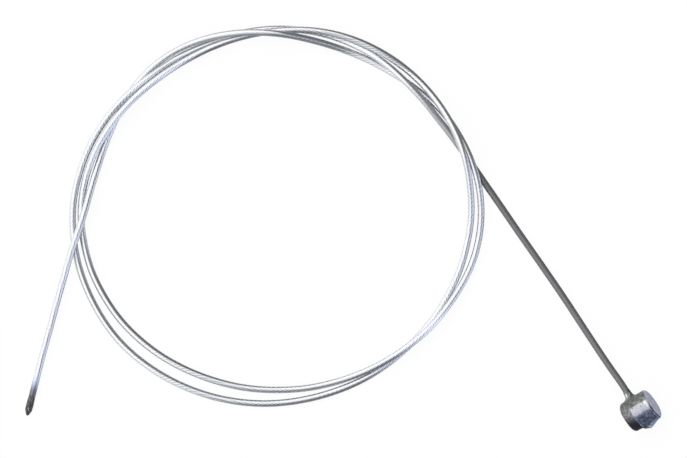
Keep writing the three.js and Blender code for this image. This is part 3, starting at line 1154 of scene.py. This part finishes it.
def sky_ellipse(tree, direction, height, centre, half_sizes):
    """1 inside an ellipse drawn on the sky, flattened as seen from straight below."""
    flat = add(tree, "ShaderNodeVectorMath", operation="SCALE")
    feed(tree, direction, flat.inputs[0])
    share = calculate(tree, "DIVIDE", 1.0, calculate(tree, "ADD", height, 1.0))
    feed(tree, share, flat.inputs["Scale"])
    moved = vector_step(tree, "SUBTRACT", flat.outputs["Vector"], centre)
    level = vector_step(tree, "MULTIPLY", moved, (1, 1, 0))
    sized = vector_step(tree, "DIVIDE", level, half_sizes)
    distance = add(tree, "ShaderNodeVectorMath", operation="LENGTH")
    feed(tree, sized, distance.inputs[0])
    return span(tree, distance.outputs["Value"], *SOFT_EDGE)


def room_colour(tree):
    """The colour of the room in every direction."""
    direction = add(tree, "ShaderNodeTexCoord").outputs["Generated"]
    parts = add(tree, "ShaderNodeSeparateXYZ")
    feed(tree, direction, parts.inputs[0])
    angle = calculate(tree, "ARCTAN2", parts.outputs["Y"], parts.outputs["X"])
    share = span(tree, angle, -math.pi, math.pi)
    walls, low = (
        ramp(tree, share, [((degrees + 180) / 360, colour) for degrees, colour in stops])
        for stops in (ROOM_ROUND, LOW_ROUND)
    )
    height = parts.outputs["Z"]
    walls = mix(tree, span(tree, height, *LOW_UP_TO), low, walls)
    canopy = sky_ellipse(tree, direction, height, CANOPY_CENTRE, CANOPY_HALF_SIZES)
    room = mix(tree, canopy, walls, CANOPY)
    overhead = sky_ellipse(tree, direction, height, OVERHEAD_CENTRE, OVERHEAD_HALF_SIZES)
    return mix(tree, overhead, room, OVERHEAD)


def room_world():
    world = bpy.data.worlds.new("studio")
    world.use_nodes = True
    tree = world.node_tree
    tree.nodes.clear()
    lit = add(tree, "ShaderNodeBackground")
    lit.inputs["Strength"].default_value = ROOM_STRENGTH
    feed(tree, room_colour(tree), lit.inputs["Color"])
    white = add(tree, "ShaderNodeBackground")
    feed(tree, (1, 1, 1), white.inputs["Color"])
    chosen = add(tree, "ShaderNodeMixShader")
    feed(tree, add(tree, "ShaderNodeLightPath").outputs["Is Camera Ray"], chosen.inputs["Fac"])
    feed(tree, lit.outputs[0], chosen.inputs[1])
    feed(tree, white.outputs[0], chosen.inputs[2])
    output = add(tree, "ShaderNodeOutputWorld")
    feed(tree, chosen.outputs[0], output.inputs["Surface"])
    return world


bpy.context.scene.world = room_world()
print("world:", bpy.context.scene.world.name)

# %% [markdown]
# One broad lamp from the upper left adds the light that the dim parts of the room lack and gives
# the cable a soft shadow. It is hidden from reflections, because the white screen stands there.

# %% Lamp
LAMP_POWER = 2.2
LAMP_SIZE = 0.7
LAMP_PLACE = Vector((-0.25, 0.45, 0.9))

lamp_data = bpy.data.lights.new("soft_lamp", "AREA")
lamp_data.energy = LAMP_POWER
lamp_data.size = LAMP_SIZE
lamp = bpy.data.objects.new("soft_lamp", lamp_data)
lamp.location = LAMP_PLACE
lamp.rotation_mode = "QUATERNION"
lamp.rotation_quaternion = LAMP_PLACE.to_track_quat("Z", "Y")
lamp.visible_glossy = False
bpy.context.scene.collection.objects.link(lamp)
print(f"lamp {LAMP_PLACE.length:.2f} m away")

# %% [markdown]
# The table is a white sheet. To the camera most of it is an even white of its own, so that the
# ground looks blank as in the photograph, and a little of that goes into reflections too. The
# rest is plain matt paper, which keeps a faint shadow under the cable. Mirrored in the rope it is
# satin instead and shows the low part of the room, because the photographed table did: the
# outlines of the rope there are darker than white paper would make them.

# %% Table
TABLE_HALF = 1.5
PAPER = (0.85, 0.85, 0.85)
PAPER_ROUGHNESS = 0.9
SATIN = (0.7, 0.7, 0.71)
SATIN_ROUGHNESS = 0.25
BLANK_TO_CAMERA = 0.94
BLANK_IN_REFLECTIONS = 0.03


def blank_share(tree):
    path = add(tree, "ShaderNodeLightPath").outputs
    mirrored = calculate(tree, "MAXIMUM", path["Is Glossy Ray"], path["Is Transmission Ray"])
    mirrored = calculate(tree, "MULTIPLY", mirrored, BLANK_IN_REFLECTIONS)
    seen = calculate(tree, "MULTIPLY", path["Is Camera Ray"], BLANK_TO_CAMERA)
    return calculate(tree, "MAXIMUM", seen, mirrored)


def white_sheet_material():
    material, tree, shader = new_material("white_sheet")
    mirrored = add(tree, "ShaderNodeLightPath").outputs["Is Glossy Ray"]
    feed(tree, mix(tree, mirrored, PAPER, SATIN), shader.inputs["Base Color"])
    feed(tree, mirrored, shader.inputs["Metallic"])
    rough = span(tree, mirrored, 0, 1, PAPER_ROUGHNESS, SATIN_ROUGHNESS)
    feed(tree, rough, shader.inputs["Roughness"])
    blank = add(tree, "ShaderNodeEmission")
    chosen = add(tree, "ShaderNodeMixShader")
    feed(tree, blank_share(tree), chosen.inputs["Fac"])
    feed(tree, shader.outputs["BSDF"], chosen.inputs[1])
    feed(tree, blank.outputs[0], chosen.inputs[2])
    finish_material(tree, chosen.outputs[0])
    return material


def table():
    mesh = bpy.data.meshes.new("table")
    signs = [(-1, -1), (1, -1), (1, 1), (-1, 1)]
    mesh.from_pydata([(x * TABLE_HALF, y * TABLE_HALF, 0) for x, y in signs], [], [(0, 1, 2, 3)])
    mesh.materials.append(white_sheet_material())
    sheet = bpy.data.objects.new("table", mesh)
    bpy.context.scene.collection.objects.link(sheet)
    return sheet


table()
print("table:", 2 * TABLE_HALF, "m wide")
